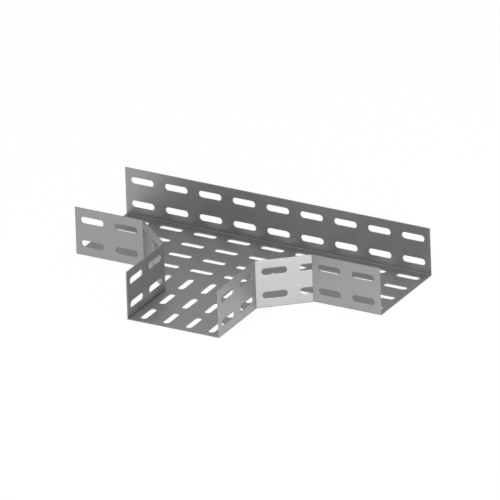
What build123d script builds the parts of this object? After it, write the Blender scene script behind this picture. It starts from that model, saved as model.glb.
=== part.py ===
from build123d import *
import os

# Sheet and folds, all lengths in millimetres
sheet = 1.0
fold_radius = 0.5
fold_outside = fold_radius + sheet

# Perforation: round-ended slots, pitched along their length and spaced across it
slot_length = 25.0
slot_width = 7.0
slot_pitch = 37.5
row_spacing = 25.0

# Slots counted along and across each part of the tray
floor_rows = 4
wall_rows = 2
run_columns = 9
end_columns = 2
branch_columns = 3
branch_wall_columns = 2
slant_columns = 2

# Every length is a whole number of slot pitches; the walls are two rows high
clear_width = 100.0
wall_height = wall_rows * row_spacing + sheet / 2
run_length = run_columns * slot_pitch
end_wall_length = end_columns * slot_pitch
branch_reach = branch_columns * slot_pitch
branch_wall_length = branch_wall_columns * slot_pitch
relief_width = 1.0

# The origin is where the middle lines of run and branch cross, under the floor
inside = clear_width / 2
outside = inside + sheet
run_end = run_length / 2
branch_end = -inside - branch_reach
row_middle = wall_height - wall_rows * row_spacing / 2

# Plan of the right slanted wall, seen on its outside face
branch_corner = Vector(outside, branch_end + branch_wall_length)
front_corner = Vector(run_end - end_wall_length, -outside)
slant_run = (front_corner - branch_corner).normalized()
slant_inward = Vector(-slant_run.Y, slant_run.X)
branch_inward = Vector(-1, 0)
front_inward = Vector(0, 1)

# Steps through the sheet, from an outside corner to the inside corner behind it
branch_step = (branch_inward + slant_inward) * (sheet / (1 + branch_inward.dot(slant_inward)))
front_step = (front_inward + slant_inward) * (sheet / (1 + front_inward.dot(slant_inward)))
branch_corner_in = branch_corner + branch_step
front_corner_in = front_corner + front_step

# The mouth is cut out of the front wall and its fold, along the two mitre lines
mouth_front = front_corner - front_step
mouth_back = front_corner + front_step * (fold_outside / sheet)

# A relief notch parts each front fold from the slanted edge of the floor
notch_x = mouth_back.X - relief_width
notch_y = front_corner_in.Y - (front_corner_in.X - notch_x) * slant_run.Y / slant_run.X

# Middles of the slot groups that are not centred on the tray
front_group_x = run_end - end_wall_length / 2
branch_group_y = branch_end + branch_reach / 2
branch_wall_group_y = branch_end + branch_wall_length / 2
gusset_slot_x = (floor_rows + 1) * row_spacing / 2
gusset_slot_y = branch_end + branch_reach - slot_pitch / 2

# Tray body: one sheet, with the floor, the back wall and the two front end walls
with BuildPart() as tray_body:
    # The run starts as a plain channel
    with BuildSketch(Plane.YZ) as channel_section:
        with BuildLine():
            FilletPolyline(
                (outside, wall_height),
                (outside, 0),
                (-outside, 0),
                (-outside, wall_height),
                radius=fold_outside,
            )
            offset(amount=sheet, side=Side.RIGHT)
        make_face()
    extrude(amount=run_end, both=True)

    # Mouth in the front wall
    with BuildSketch(Plane.XY) as mouth:
        Polygon(
            (-mouth_front.X, mouth_front.Y),
            (mouth_front.X, mouth_front.Y),
            (mouth_back.X, mouth_back.Y),
            (-mouth_back.X, mouth_back.Y),
            align=None,
        )
    extrude(amount=wall_height, mode=Mode.SUBTRACT)

    # Branch floor with its gusset corners, rounded where the corner walls are folded
    with BuildSketch(Plane.XY) as branch_floor:
        Polygon(
            (-inside, branch_end),
            (inside, branch_end),
            (branch_corner_in.X, branch_corner_in.Y),
            (notch_x, notch_y),
            (notch_x, mouth_back.Y),
            (-notch_x, mouth_back.Y),
            (-notch_x, notch_y),
            (-branch_corner_in.X, branch_corner_in.Y),
            align=None,
        )
        fillet(branch_floor.vertices().group_by(Axis.Y)[1], radius=fold_outside)
    extrude(amount=sheet)

    # Floor slots, lengthwise in the run and in the branch
    with BuildSketch(Plane.XY) as floor_slots:
        with GridLocations(slot_pitch, row_spacing, run_columns, floor_rows):
            SlotOverall(slot_length, slot_width)
        with Locations((0, branch_group_y)):
            with GridLocations(row_spacing, slot_pitch, floor_rows, branch_columns):
                SlotOverall(slot_length, slot_width, rotation=90)
        with Locations((-gusset_slot_x, gusset_slot_y), (gusset_slot_x, gusset_slot_y)):
            SlotOverall(slot_length, slot_width, rotation=90)
    extrude(amount=sheet, mode=Mode.SUBTRACT)

    # Back wall slots
    with BuildSketch(Plane.XZ.offset(-outside)) as back_slots:
        with Locations((0, row_middle)):
            with GridLocations(slot_pitch, row_spacing, run_columns, wall_rows):
                SlotOverall(slot_length, slot_width)
    extrude(amount=sheet, mode=Mode.SUBTRACT)

    # Front end wall slots
    with BuildSketch(Plane.XZ.offset(inside)) as front_slots:
        with Locations((-front_group_x, row_middle), (front_group_x, row_middle)):
            with GridLocations(slot_pitch, row_spacing, end_columns, wall_rows):
                SlotOverall(slot_length, slot_width)
    extrude(amount=sheet, mode=Mode.SUBTRACT)

# Right corner wall: one strip stood on edge, folded between branch wall and slanted wall
with BuildPart() as right_corner_wall:
    with BuildSketch(Plane.XY) as strip_plan:
        Polygon(
            (outside, branch_end),
            (branch_corner.X, branch_corner.Y),
            (front_corner.X, front_corner.Y),
            (front_corner_in.X, front_corner_in.Y),
            (branch_corner_in.X, branch_corner_in.Y),
            (inside, branch_end),
            align=None,
        )
        fillet(strip_plan.vertices().sort_by_distance(branch_corner_in)[0], radius=fold_outside)
        fillet(strip_plan.vertices().sort_by_distance(branch_corner)[0], radius=fold_radius)
    extrude(amount=wall_height)

    # Branch wall slots
    with BuildSketch(Plane.YZ.offset(inside)) as branch_wall_slots:
        with Locations((branch_wall_group_y, row_middle)):
            with GridLocations(slot_pitch, row_spacing, branch_wall_columns, wall_rows):
                SlotOverall(slot_length, slot_width)
    extrude(amount=sheet, mode=Mode.SUBTRACT)

    # Slanted wall slots; the cut end of the strip runs through the second column
    slant_face = Plane(origin=branch_corner, x_dir=slant_run, z_dir=-slant_inward)
    with BuildSketch(slant_face) as slant_slots:
        with Locations((slant_columns * slot_pitch / 2, row_middle)):
            with GridLocations(slot_pitch, row_spacing, slant_columns, wall_rows):
                SlotOverall(slot_length, slot_width)
    extrude(amount=-sheet, mode=Mode.SUBTRACT)

# Left corner wall: the same strip, folded to the other hand
with BuildPart() as left_corner_wall:
    mirror(right_corner_wall.part, about=Plane.YZ)

tray_body.part.label = "tray_body"
right_corner_wall.part.label = "right_corner_wall"
left_corner_wall.part.label = "left_corner_wall"

os.makedirs("parts", exist_ok=True)
export_step(tray_body.part, "parts/tray_body.step")
export_step(right_corner_wall.part, "parts/right_corner_wall.step")
export_step(left_corner_wall.part, "parts/left_corner_wall.step")
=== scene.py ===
"""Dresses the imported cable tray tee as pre-galvanised steel sheet and sets it in a pale, softly lit studio.

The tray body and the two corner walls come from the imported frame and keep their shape. This script gives
them their zinc finish and lightly rounded cut edges, and adds the floor, the light and the camera.
"""

import logging
import math
from dataclasses import dataclass, field
from enum import Enum
from typing import Any

import bpy
from mathutils import Matrix, Vector


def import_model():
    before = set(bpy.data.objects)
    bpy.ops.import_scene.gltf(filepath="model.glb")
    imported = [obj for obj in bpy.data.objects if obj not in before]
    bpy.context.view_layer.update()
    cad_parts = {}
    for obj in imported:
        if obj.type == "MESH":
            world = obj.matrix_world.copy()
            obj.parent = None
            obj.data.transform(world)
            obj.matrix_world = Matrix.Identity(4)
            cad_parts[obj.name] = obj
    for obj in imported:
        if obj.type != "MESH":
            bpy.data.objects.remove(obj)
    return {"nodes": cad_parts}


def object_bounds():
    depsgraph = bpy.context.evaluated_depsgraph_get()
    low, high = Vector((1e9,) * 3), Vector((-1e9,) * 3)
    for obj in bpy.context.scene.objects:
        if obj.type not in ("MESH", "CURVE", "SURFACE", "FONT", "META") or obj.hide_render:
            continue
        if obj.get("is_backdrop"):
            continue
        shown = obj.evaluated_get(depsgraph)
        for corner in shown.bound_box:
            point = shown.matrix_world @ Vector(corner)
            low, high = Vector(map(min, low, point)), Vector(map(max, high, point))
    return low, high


LOG = logging.getLogger("cable_tray_tee")
MM = 0.001

# The colour sockets of a Mix node share their names with its number sockets, so they go by place
MIX_A, MIX_B, MIX_RESULT = 6, 7, 2


def linear(hex_colour: str) -> tuple[float, float, float, float]:
    """Turn an sRGB hex colour into Blender's linear colour.

    Args:
        hex_colour: Six hex digits, red first.

    Returns:
        Linear red, green, blue and an alpha of one.
    """
    channels = [int(hex_colour[start : start + 2], 16) / 255 for start in (0, 2, 4)]
    # The sRGB standard's own numbers: a straight foot, then a power curve
    red, green, blue = (c / 12.92 if c <= 0.04045 else ((c + 0.055) / 1.055) ** 2.4 for c in channels)
    return red, green, blue, 1.0


def per_metre(size_mm: float) -> float:
    """Return the texture scale whose pattern repeats about every size_mm in object coordinates."""
    return 1.0 / (size_mm * MM)


def direction(azimuth_deg: float, elevation_deg: float) -> Vector:
    """Work out the direction in which something lies round the tee.

    Args:
        azimuth_deg: Angle from straight in front, the branch's side, towards the right.
        elevation_deg: Angle above the floor.

    Returns:
        The direction as a unit vector.
    """
    turn, rise = math.radians(azimuth_deg), math.radians(elevation_deg)
    return Vector((math.sin(turn) * math.cos(rise), -math.cos(turn) * math.cos(rise), math.sin(rise)))


def add_node(
    tree: bpy.types.NodeTree,
    kind: str,
    settings: dict[str | int, Any] | None = None,
    links: dict[str | int, bpy.types.NodeSocket] | None = None,
) -> bpy.types.Node:
    """Add one node with its settings and its incoming links.

    Args:
        tree: The node tree of a material or of the world.
        kind: Blender's name for the type of node.
        settings: Values by name or place; a lower-case name is a property, any other key is an input.
        links: Output sockets that feed the inputs of those names or places.

    Returns:
        The new node.
    """
    node = tree.nodes.new(kind)
    for key, value in (settings or {}).items():
        if isinstance(key, str) and key.islower():
            setattr(node, key, value)
        else:
            node.inputs[key].default_value = value
    for key, socket in (links or {}).items():
        tree.links.new(socket, node.inputs[key])
    return node


def cleared_tree(owner: bpy.types.Material | bpy.types.World) -> bpy.types.NodeTree:
    """Switch a material or world to nodes and empty its tree.

    Args:
        owner: The material or world.

    Returns:
        The empty tree.
    """
    owner.use_nodes = True
    owner.node_tree.nodes.clear()
    return owner.node_tree


class Rolling(Enum):
    """Which way the mill rolled the sheet, as the scale of its grain along X, Y and Z.

    At a scale of 0.03 along the rolling direction a streak is 33 times as long as it is wide.
    """

    ALONG_THE_RUN = (0.03, 1.0, 1.0)
    ROUND_THE_CORNER = (0.03, 0.03, 1.0)


@dataclass(frozen=True)
class GalvanisedSheet:
    """Pre-galvanised steel sheet: hot-dipped in zinc and rolled before it is punched and folded.

    The zinc is a dull, neutral grey metal that mirrors broad light and dark. Its crystals show as a faint
    mottle, the rolls leave a fine grain, cut edges are smoother, and painted shade darkens tight folds.
    """

    name: str
    rolling: Rolling
    dull_zinc: str = "9C9C9A"
    bright_zinc: str = "A8A8A6"
    cut_edge: str = "A8A8A6"
    # Painted shade: the colour that tight folds darken towards, standing in for the shade that falls in them
    fold_painted_shade: str = "6A6A68"
    roughness_low: float = 0.40
    roughness_high: float = 0.48
    roughness_edge: float = 0.32
    # Crystals of a minimised spangle are about 1 mm across; drawn at 5 mm, so that they show
    spangle_mm: float = 5.0
    # How far one crystal can lean away from its neighbour, as a slope
    spangle_tilt: float = 0.014
    # Roll marks are some hundredths of a millimetre wide; drawn at 0.7 mm, so that they show
    grain_mm: float = 0.7
    grain_relief_mm: float = 0.003
    # The zinc sets unevenly, which leaves soft clouds of tone some centimetres wide
    cloud_mm: float = 60.0
    cloud_detail: float = 3.0
    cloud_roughness: float = 0.55
    # How much cloud, crystals and grain each add to the tone
    mottle_shares: tuple[float, float, float] = (0.5, 0.2, 0.3)
    # A cut edge is burnished for about a third of a millimetre
    edge_mm: float = 0.35
    # Cosine of the turn within that distance at which an edge starts, and at which it is all edge
    edge_turn: tuple[float, float] = (0.995, 0.8)
    # Painted shade darkens the last two millimetres before a fold
    fold_mm: float = 2.0
    # How much of the open sky within that distance is left where the painted shade starts, and where it is
    # darkest
    fold_openness: tuple[float, float] = (0.8, 0.5)

    def material(self) -> bpy.types.Material:
        """Build the sheet's material.

        Returns:
            The finished material.
        """
        made = bpy.data.materials.new(self.name)
        tree = cleared_tree(made)
        place = add_node(tree, "ShaderNodeTexCoord").outputs["Object"]
        crystal = self.crystals(tree, place)
        grain = self.roll_grain(tree, place)
        mottle = self.mottle(tree, place, crystal, grain)
        edge = self.edge_mask(tree)
        zinc = add_node(
            tree,
            "ShaderNodeMix",
            {"data_type": "RGBA", MIX_A: linear(self.dull_zinc), MIX_B: linear(self.bright_zinc)},
            {"Factor": mottle},
        )
        colour = add_node(
            tree,
            "ShaderNodeMix",
            {"data_type": "RGBA", MIX_B: linear(self.cut_edge)},
            {"Factor": edge, MIX_A: zinc.outputs[MIX_RESULT]},
        )
        # Painted shade: the colour darkens in tight folds, where the open sky is blocked
        fold_shaded = add_node(
            tree,
            "ShaderNodeMix",
            {"data_type": "RGBA", MIX_B: linear(self.fold_painted_shade)},
            {"Factor": self.painted_shade_mask(tree), MIX_A: colour.outputs[MIX_RESULT]},
        )
        dullness = add_node(
            tree,
            "ShaderNodeMapRange",
            {"To Min": self.roughness_high, "To Max": self.roughness_low},
            {"Value": mottle},
        )
        roughness = add_node(
            tree,
            "ShaderNodeMix",
            {"data_type": "FLOAT", "B": self.roughness_edge},
            {"Factor": edge, "A": dullness.outputs["Result"]},
        )
        shader = add_node(
            tree,
            "ShaderNodeBsdfPrincipled",
            {"Metallic": 1.0},
            {
                "Base Color": fold_shaded.outputs[MIX_RESULT],
                "Roughness": roughness.outputs["Result"],
                "Normal": self.surface_normal(tree, crystal, grain),
            },
        )
        add_node(tree, "ShaderNodeOutputMaterial", links={"Surface": shader.outputs["BSDF"]})
        return made

    def crystals(self, tree: bpy.types.NodeTree, place: bpy.types.NodeSocket) -> bpy.types.NodeSocket:
        """Give each zinc crystal a random colour, which later sets its tone and tilt.

        Args:
            tree: The material's tree.
            place: The object coordinates.

        Returns:
            The colour's socket.
        """
        cells = add_node(
            tree,
            "ShaderNodeTexVoronoi",
            {"Scale": per_metre(self.spangle_mm)},
            {"Vector": place},
        )
        return cells.outputs["Color"]

    def roll_grain(self, tree: bpy.types.NodeTree, place: bpy.types.NodeSocket) -> bpy.types.NodeSocket:
        """Draw the long fine streaks that the mill's rolls leave, from 0 to 1.

        Args:
            tree: The material's tree.
            place: The object coordinates.

        Returns:
            The streaks' socket.
        """
        stretched = add_node(
            tree,
            "ShaderNodeVectorMath",
            {"operation": "MULTIPLY", 1: self.rolling.value},
            {0: place},
        )
        streaks = add_node(
            tree,
            "ShaderNodeTexNoise",
            {"Scale": per_metre(self.grain_mm)},
            {"Vector": stretched.outputs["Vector"]},
        )
        return streaks.outputs["Fac"]

    def mottle(
        self,
        tree: bpy.types.NodeTree,
        place: bpy.types.NodeSocket,
        crystal: bpy.types.NodeSocket,
        grain: bpy.types.NodeSocket,
    ) -> bpy.types.NodeSocket:
        """Add up cloud, crystals and grain into one tone from 0, dull, to 1, bright.

        Args:
            tree: The material's tree.
            place: The object coordinates.
            crystal: The random colour of each zinc crystal.
            grain: The streaks of the rolls.

        Returns:
            The tone's socket.
        """
        cloud = add_node(
            tree,
            "ShaderNodeTexNoise",
            {
                "Scale": per_metre(self.cloud_mm),
                "Detail": self.cloud_detail,
                "Roughness": self.cloud_roughness,
            },
            {"Vector": place},
        )
        parts = add_node(
            tree,
            "ShaderNodeCombineXYZ",
            links={"X": cloud.outputs["Fac"], "Y": crystal, "Z": grain},
        )
        summed = add_node(
            tree,
            "ShaderNodeVectorMath",
            {"operation": "DOT_PRODUCT", 1: self.mottle_shares},
            {0: parts.outputs["Vector"]},
        )
        return summed.outputs["Value"]

    def edge_mask(self, tree: bpy.types.NodeTree) -> bpy.types.NodeSocket:
        """Mark the cut edges and folds, from 0 on open sheet to 1 on an edge.

        Args:
            tree: The material's tree.

        Returns:
            The mask's socket.
        """
        rounded = add_node(tree, "ShaderNodeBevel", {"samples": 4, "Radius": self.edge_mm * MM})
        flat = add_node(tree, "ShaderNodeNewGeometry")
        turn = add_node(
            tree,
            "ShaderNodeVectorMath",
            {"operation": "DOT_PRODUCT"},
            {0: rounded.outputs["Normal"], 1: flat.outputs["Normal"]},
        )
        starts, full = self.edge_turn
        mask = add_node(
            tree,
            "ShaderNodeMapRange",
            {"From Min": starts, "From Max": full},
            {"Value": turn.outputs["Value"]},
        )
        return mask.outputs["Result"]

    def painted_shade_mask(self, tree: bpy.types.NodeTree) -> bpy.types.NodeSocket:
        """Mark where shade is painted into the inside of tight corners, from 0 on open sheet to 1 in the
        fold.

        Args:
            tree: The material's tree.

        Returns:
            The mask's socket.
        """
        openness = add_node(
            tree,
            "ShaderNodeAmbientOcclusion",
            {"samples": 8, "Distance": self.fold_mm * MM},
        )
        starts, full = self.fold_openness
        mask = add_node(
            tree,
            "ShaderNodeMapRange",
            {"From Min": starts, "From Max": full},
            {"Value": openness.outputs["AO"]},
        )
        return mask.outputs["Result"]

    def surface_normal(
        self, tree: bpy.types.NodeTree, crystal: bpy.types.NodeSocket, grain: bpy.types.NodeSocket
    ) -> bpy.types.NodeSocket:
        """Tilt each crystal a little its own way, on top of the relief of the grain.

        Args:
            tree: The material's tree.
            crystal: The random colour of each zinc crystal.
            grain: The streaks of the rolls.

        Returns:
            The normal's socket.
        """
        relief = add_node(
            tree,
            "ShaderNodeBump",
            {"Distance": self.grain_relief_mm * MM},
            {"Height": grain},
        )
        # The random colour runs from 0 to 1; less a half, it tilts a crystal to either side
        centred = add_node(
            tree,
            "ShaderNodeVectorMath",
            {"operation": "SUBTRACT", 1: (0.5, 0.5, 0.5)},
            {0: crystal},
        )
        tilted = add_node(
            tree,
            "ShaderNodeVectorMath",
            {"operation": "MULTIPLY_ADD", 1: (self.spangle_tilt,) * 3},
            {0: centred.outputs["Vector"], 2: relief.outputs["Normal"]},
        )
        unit = add_node(
            tree,
            "ShaderNodeVectorMath",
            {"operation": "NORMALIZE"},
            {0: tilted.outputs["Vector"]},
        )
        return unit.outputs["Vector"]


@dataclass(frozen=True)
class StudioPaper:
    """Matt white paper under the part, which shows white to the camera and keeps a soft shadow."""

    name: str = "studio_paper"
    tone: str = "F4F4F4"
    # How much of what the camera, and the zinc as a mirror, see of the paper is plain white
    white_to_camera: float = 0.95
    white_in_mirrors: float = 0.92

    def material(self) -> bpy.types.Material:
        """Build the paper's material.

        Returns:
            The finished material.
        """
        made = bpy.data.materials.new(self.name)
        tree = cleared_tree(made)
        paper = add_node(tree, "ShaderNodeBsdfDiffuse", {"Color": linear(self.tone)})
        white = add_node(tree, "ShaderNodeEmission", {"Color": linear("FFFFFF"), "Strength": 1.0})
        ray = add_node(tree, "ShaderNodeLightPath")
        mirrored = add_node(
            tree,
            "ShaderNodeMath",
            {"operation": "MAXIMUM"},
            {0: ray.outputs["Is Glossy Ray"], 1: ray.outputs["Is Transmission Ray"]},
        )
        in_mirrors = add_node(
            tree,
            "ShaderNodeMath",
            {"operation": "MULTIPLY", 1: self.white_in_mirrors},
            {0: mirrored.outputs["Value"]},
        )
        share = add_node(
            tree,
            "ShaderNodeMath",
            {"operation": "MULTIPLY_ADD", 1: self.white_to_camera},
            {0: ray.outputs["Is Camera Ray"], 2: in_mirrors.outputs["Value"]},
        )
        blend = add_node(
            tree,
            "ShaderNodeMixShader",
            links={0: share.outputs["Value"], 1: paper.outputs["BSDF"], 2: white.outputs["Emission"]},
        )
        add_node(tree, "ShaderNodeOutputMaterial", links={"Surface": blend.outputs["Shader"]})
        return made


@dataclass
class SheetPart:
    """Folded sheet of one kind, taken from the frame by the names of its nodes."""

    names: tuple[str, ...]
    finish: GalvanisedSheet
    edge_round_mm: float = 0.2
    edge_segments: int = 2
    # A cut edge turns by more than this; a fold turns in smaller steps and keeps its own radius
    edge_angle_deg: float = 35.0
    # Neighbouring faces share their corners once points this close are one
    weld_mm: float = 0.001
    # At the highest weight the large open faces settle the shading, so that they stay flat
    flatness: int = 100

    def dress(self, nodes: dict[str, bpy.types.Object]) -> list[bpy.types.Object]:
        """Give the sheet its finish and take the razor sharpness off its cut edges.

        Args:
            nodes: The frame's objects by name.

        Returns:
            The dressed objects.
        """
        pieces = [nodes[name] for name in self.names]
        material = self.finish.material()
        for piece in pieces:
            for slot in piece.material_slots:
                slot.material = material
            self.break_edges(piece)
        return pieces

    def break_edges(self, piece: bpy.types.Object) -> None:
        """Round the cut edges by the tenths of a millimetre that punching and handling leave.

        Args:
            piece: The sheet whose edges are rounded.
        """
        weld = piece.modifiers.new("joined_faces", "WELD")
        weld.merge_threshold = self.weld_mm * MM
        bevel = piece.modifiers.new("broken_edges", "BEVEL")
        bevel.width = self.edge_round_mm * MM
        bevel.segments = self.edge_segments
        bevel.limit_method = "ANGLE"
        bevel.angle_limit = math.radians(self.edge_angle_deg)
        shading = piece.modifiers.new("flat_open_sheet", "WEIGHTED_NORMAL")
        shading.mode = "FACE_AREA"
        shading.weight = self.flatness
        shading.keep_sharp = False


@dataclass
class TrayBody(SheetPart):
    """The T-shaped floor with the back wall and the two front end walls folded up from it."""

    names: tuple[str, ...] = ("tray_body",)
    finish: GalvanisedSheet = GalvanisedSheet("galvanised_sheet_body", Rolling.ALONG_THE_RUN)


@dataclass
class CornerWalls(SheetPart):
    """The two strips on edge, each folded between its branch wall and its slanted wall."""

    names: tuple[str, ...] = ("left_corner_wall", "right_corner_wall")
    finish: GalvanisedSheet = GalvanisedSheet("galvanised_sheet_corner", Rolling.ROUND_THE_CORNER)


@dataclass
class PaperFloor:
    """The plain pale floor that the tee stands on."""

    half_width_m: float = 6.0
    # The paper lies a hair below the tee, so that the two flat faces don't fight for the same place
    drop_mm: float = 0.05
    finish: StudioPaper = StudioPaper()

    def build(self) -> bpy.types.Object:
        """Lay the floor just under the tee.

        Returns:
            The floor, marked as stage.
        """
        reach, level = self.half_width_m, -self.drop_mm * MM
        signs = ((-1, -1), (1, -1), (1, 1), (-1, 1))
        corners = [(across * reach, along * reach, level) for across, along in signs]
        mesh = bpy.data.meshes.new("paper_floor")
        mesh.from_pydata(corners, [], [(0, 1, 2, 3)])
        mesh.materials.append(self.finish.material())
        floor = bpy.data.objects.new("paper_floor", mesh)
        bpy.context.scene.collection.objects.link(floor)
        floor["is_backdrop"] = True
        return floor


@dataclass
class SoftLamp:
    """A soft box that faces the middle of the tee."""

    name: str
    azimuth_deg: float
    elevation_deg: float
    distance_m: float
    width_m: float
    height_m: float
    power_w: float
    colour: str = "FFFFFF"

    def build(self, target: Vector) -> bpy.types.Object:
        """Place the lamp round the target.

        Args:
            target: The point that the lamp faces.

        Returns:
            The lamp.
        """
        light = bpy.data.lights.new(self.name, "AREA")
        light.shape = "RECTANGLE"
        light.size = self.width_m
        light.size_y = self.height_m
        light.energy = self.power_w
        light.color = linear(self.colour)[:3]
        lamp = bpy.data.objects.new(self.name, light)
        towards = direction(self.azimuth_deg, self.elevation_deg)
        lamp.location = target + towards * self.distance_m
        lamp.rotation_mode = "QUATERNION"
        lamp.rotation_quaternion = (-towards).to_track_quat("-Z", "Y")
        bpy.context.scene.collection.objects.link(lamp)
        return lamp


@dataclass
class Studio:
    """A white room that darkens overhead, with soft boxes round the tee."""

    horizon: str = "FFFFFF"
    overhead: str = "ACACAC"
    # Sine of the angle above the horizon at which the room has its overhead tone
    fade_height: float = 0.15
    lamps: list[SoftLamp] = field(
        default_factory=lambda: [
            SoftLamp(
                "key_soft_box",
                azimuth_deg=54,
                elevation_deg=4,
                distance_m=1.2,
                width_m=0.9,
                height_m=0.3,
                power_w=15,
                colour="F8F9FF",
            ),
            SoftLamp(
                "top_soft_box",
                azimuth_deg=0,
                elevation_deg=90,
                distance_m=1.2,
                width_m=1.4,
                height_m=1.4,
                power_w=14,
            ),
        ]
    )

    def build(self, target: Vector) -> list[bpy.types.Object]:
        """Light the room and hang its soft boxes.

        Args:
            target: The point that the lamps face.

        Returns:
            The lamps.
        """
        world = bpy.data.worlds.new("studio_room")
        bpy.context.scene.world = world
        tree = cleared_tree(world)
        towards = add_node(tree, "ShaderNodeTexCoord").outputs["Generated"]
        height = add_node(tree, "ShaderNodeSeparateXYZ", links={0: towards}).outputs["Z"]
        rise = add_node(
            tree,
            "ShaderNodeMapRange",
            {"interpolation_type": "SMOOTHSTEP", "From Min": 0.0, "From Max": self.fade_height},
            {"Value": height},
        )
        room = add_node(
            tree,
            "ShaderNodeMix",
            {"data_type": "RGBA", MIX_A: linear(self.horizon), MIX_B: linear(self.overhead)},
            {"Factor": rise.outputs["Result"]},
        )
        glow = add_node(
            tree,
            "ShaderNodeBackground",
            {"Strength": 1.0},
            {"Color": room.outputs[MIX_RESULT]},
        )
        add_node(tree, "ShaderNodeOutputWorld", links={"Surface": glow.outputs["Background"]})
        return [lamp.build(target) for lamp in self.lamps]


@dataclass
class PhotoCamera:
    """The distant camera of the photograph, placed by where it shows one known point of the tee.

    That point is the middle of the run at the foot of the back wall, in the middle of both sheets. The
    angles and the scale were fitted to the middles of the slots in the photograph.
    """

    azimuth_deg: float = 29.706
    elevation_deg: float = 24.82
    roll_deg: float = -2.025
    pixels_per_mm: float = 1.0309
    image_px: float = 500.0
    known_point_mm: tuple[float, float, float] = (0.0, 50.5, 0.5)
    known_pixel: tuple[float, float] = (279.157, 244.43)
    distance_m: float = 1.6
    nearest_m: float = 0.01
    farthest_m: float = 50.0

    def axes(self) -> tuple[Vector, Vector, Vector]:
        """Work out the directions that point right, up and back towards the camera in the picture.

        Returns:
            Right, up and back as unit vectors.
        """
        roll = math.radians(self.roll_deg)
        back = direction(self.azimuth_deg, self.elevation_deg)
        level = Vector((-back.y, back.x, 0.0)).normalized()
        upright = back.cross(level)
        right = level * math.cos(roll) + upright * math.sin(roll)
        return right, back.cross(right), back

    def build(self) -> bpy.types.Object:
        """Make the camera and use it for the scene.

        Returns:
            The camera.
        """
        right, up, back = self.axes()
        middle = self.image_px / 2
        across_mm = (middle - self.known_pixel[0]) / self.pixels_per_mm
        down_mm = (middle - self.known_pixel[1]) / self.pixels_per_mm
        aim = (Vector(self.known_point_mm) + right * across_mm - up * down_mm) * MM
        lens = bpy.data.cameras.new("photo_camera")
        lens.type = "ORTHO"
        lens.ortho_scale = self.image_px / self.pixels_per_mm * MM
        lens.clip_start = self.nearest_m
        lens.clip_end = self.farthest_m
        camera = bpy.data.objects.new("photo_camera", lens)
        camera.matrix_world = Matrix.Translation(aim + back * self.distance_m) @ Matrix(
            (right, up, back)
        ).transposed().to_4x4()
        bpy.context.scene.collection.objects.link(camera)
        bpy.context.scene.camera = camera
        return camera


def main() -> None:
    """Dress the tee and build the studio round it."""
    logging.basicConfig(level=logging.INFO, format="%(name)s: %(message)s")
    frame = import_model()
    cad_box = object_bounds()
    nodes = frame["nodes"]
    for part in (TrayBody(), CornerWalls()):
        for piece in part.dress(nodes):
            LOG.info("dressed %s with %s", piece.name, part.finish.name)
    floor = PaperFloor().build()
    LOG.info("laid %s", floor.name)
    middle = (cad_box[0] + cad_box[1]) / 2
    for lamp in Studio().build(middle):
        LOG.info("hung %s", lamp.name)
    camera = PhotoCamera().build()
    LOG.info("placed %s", camera.name)
    bpy.context.scene.view_settings.view_transform = "Standard"
    bpy.context.view_layer.update()


if __name__ == "__main__":
    main()
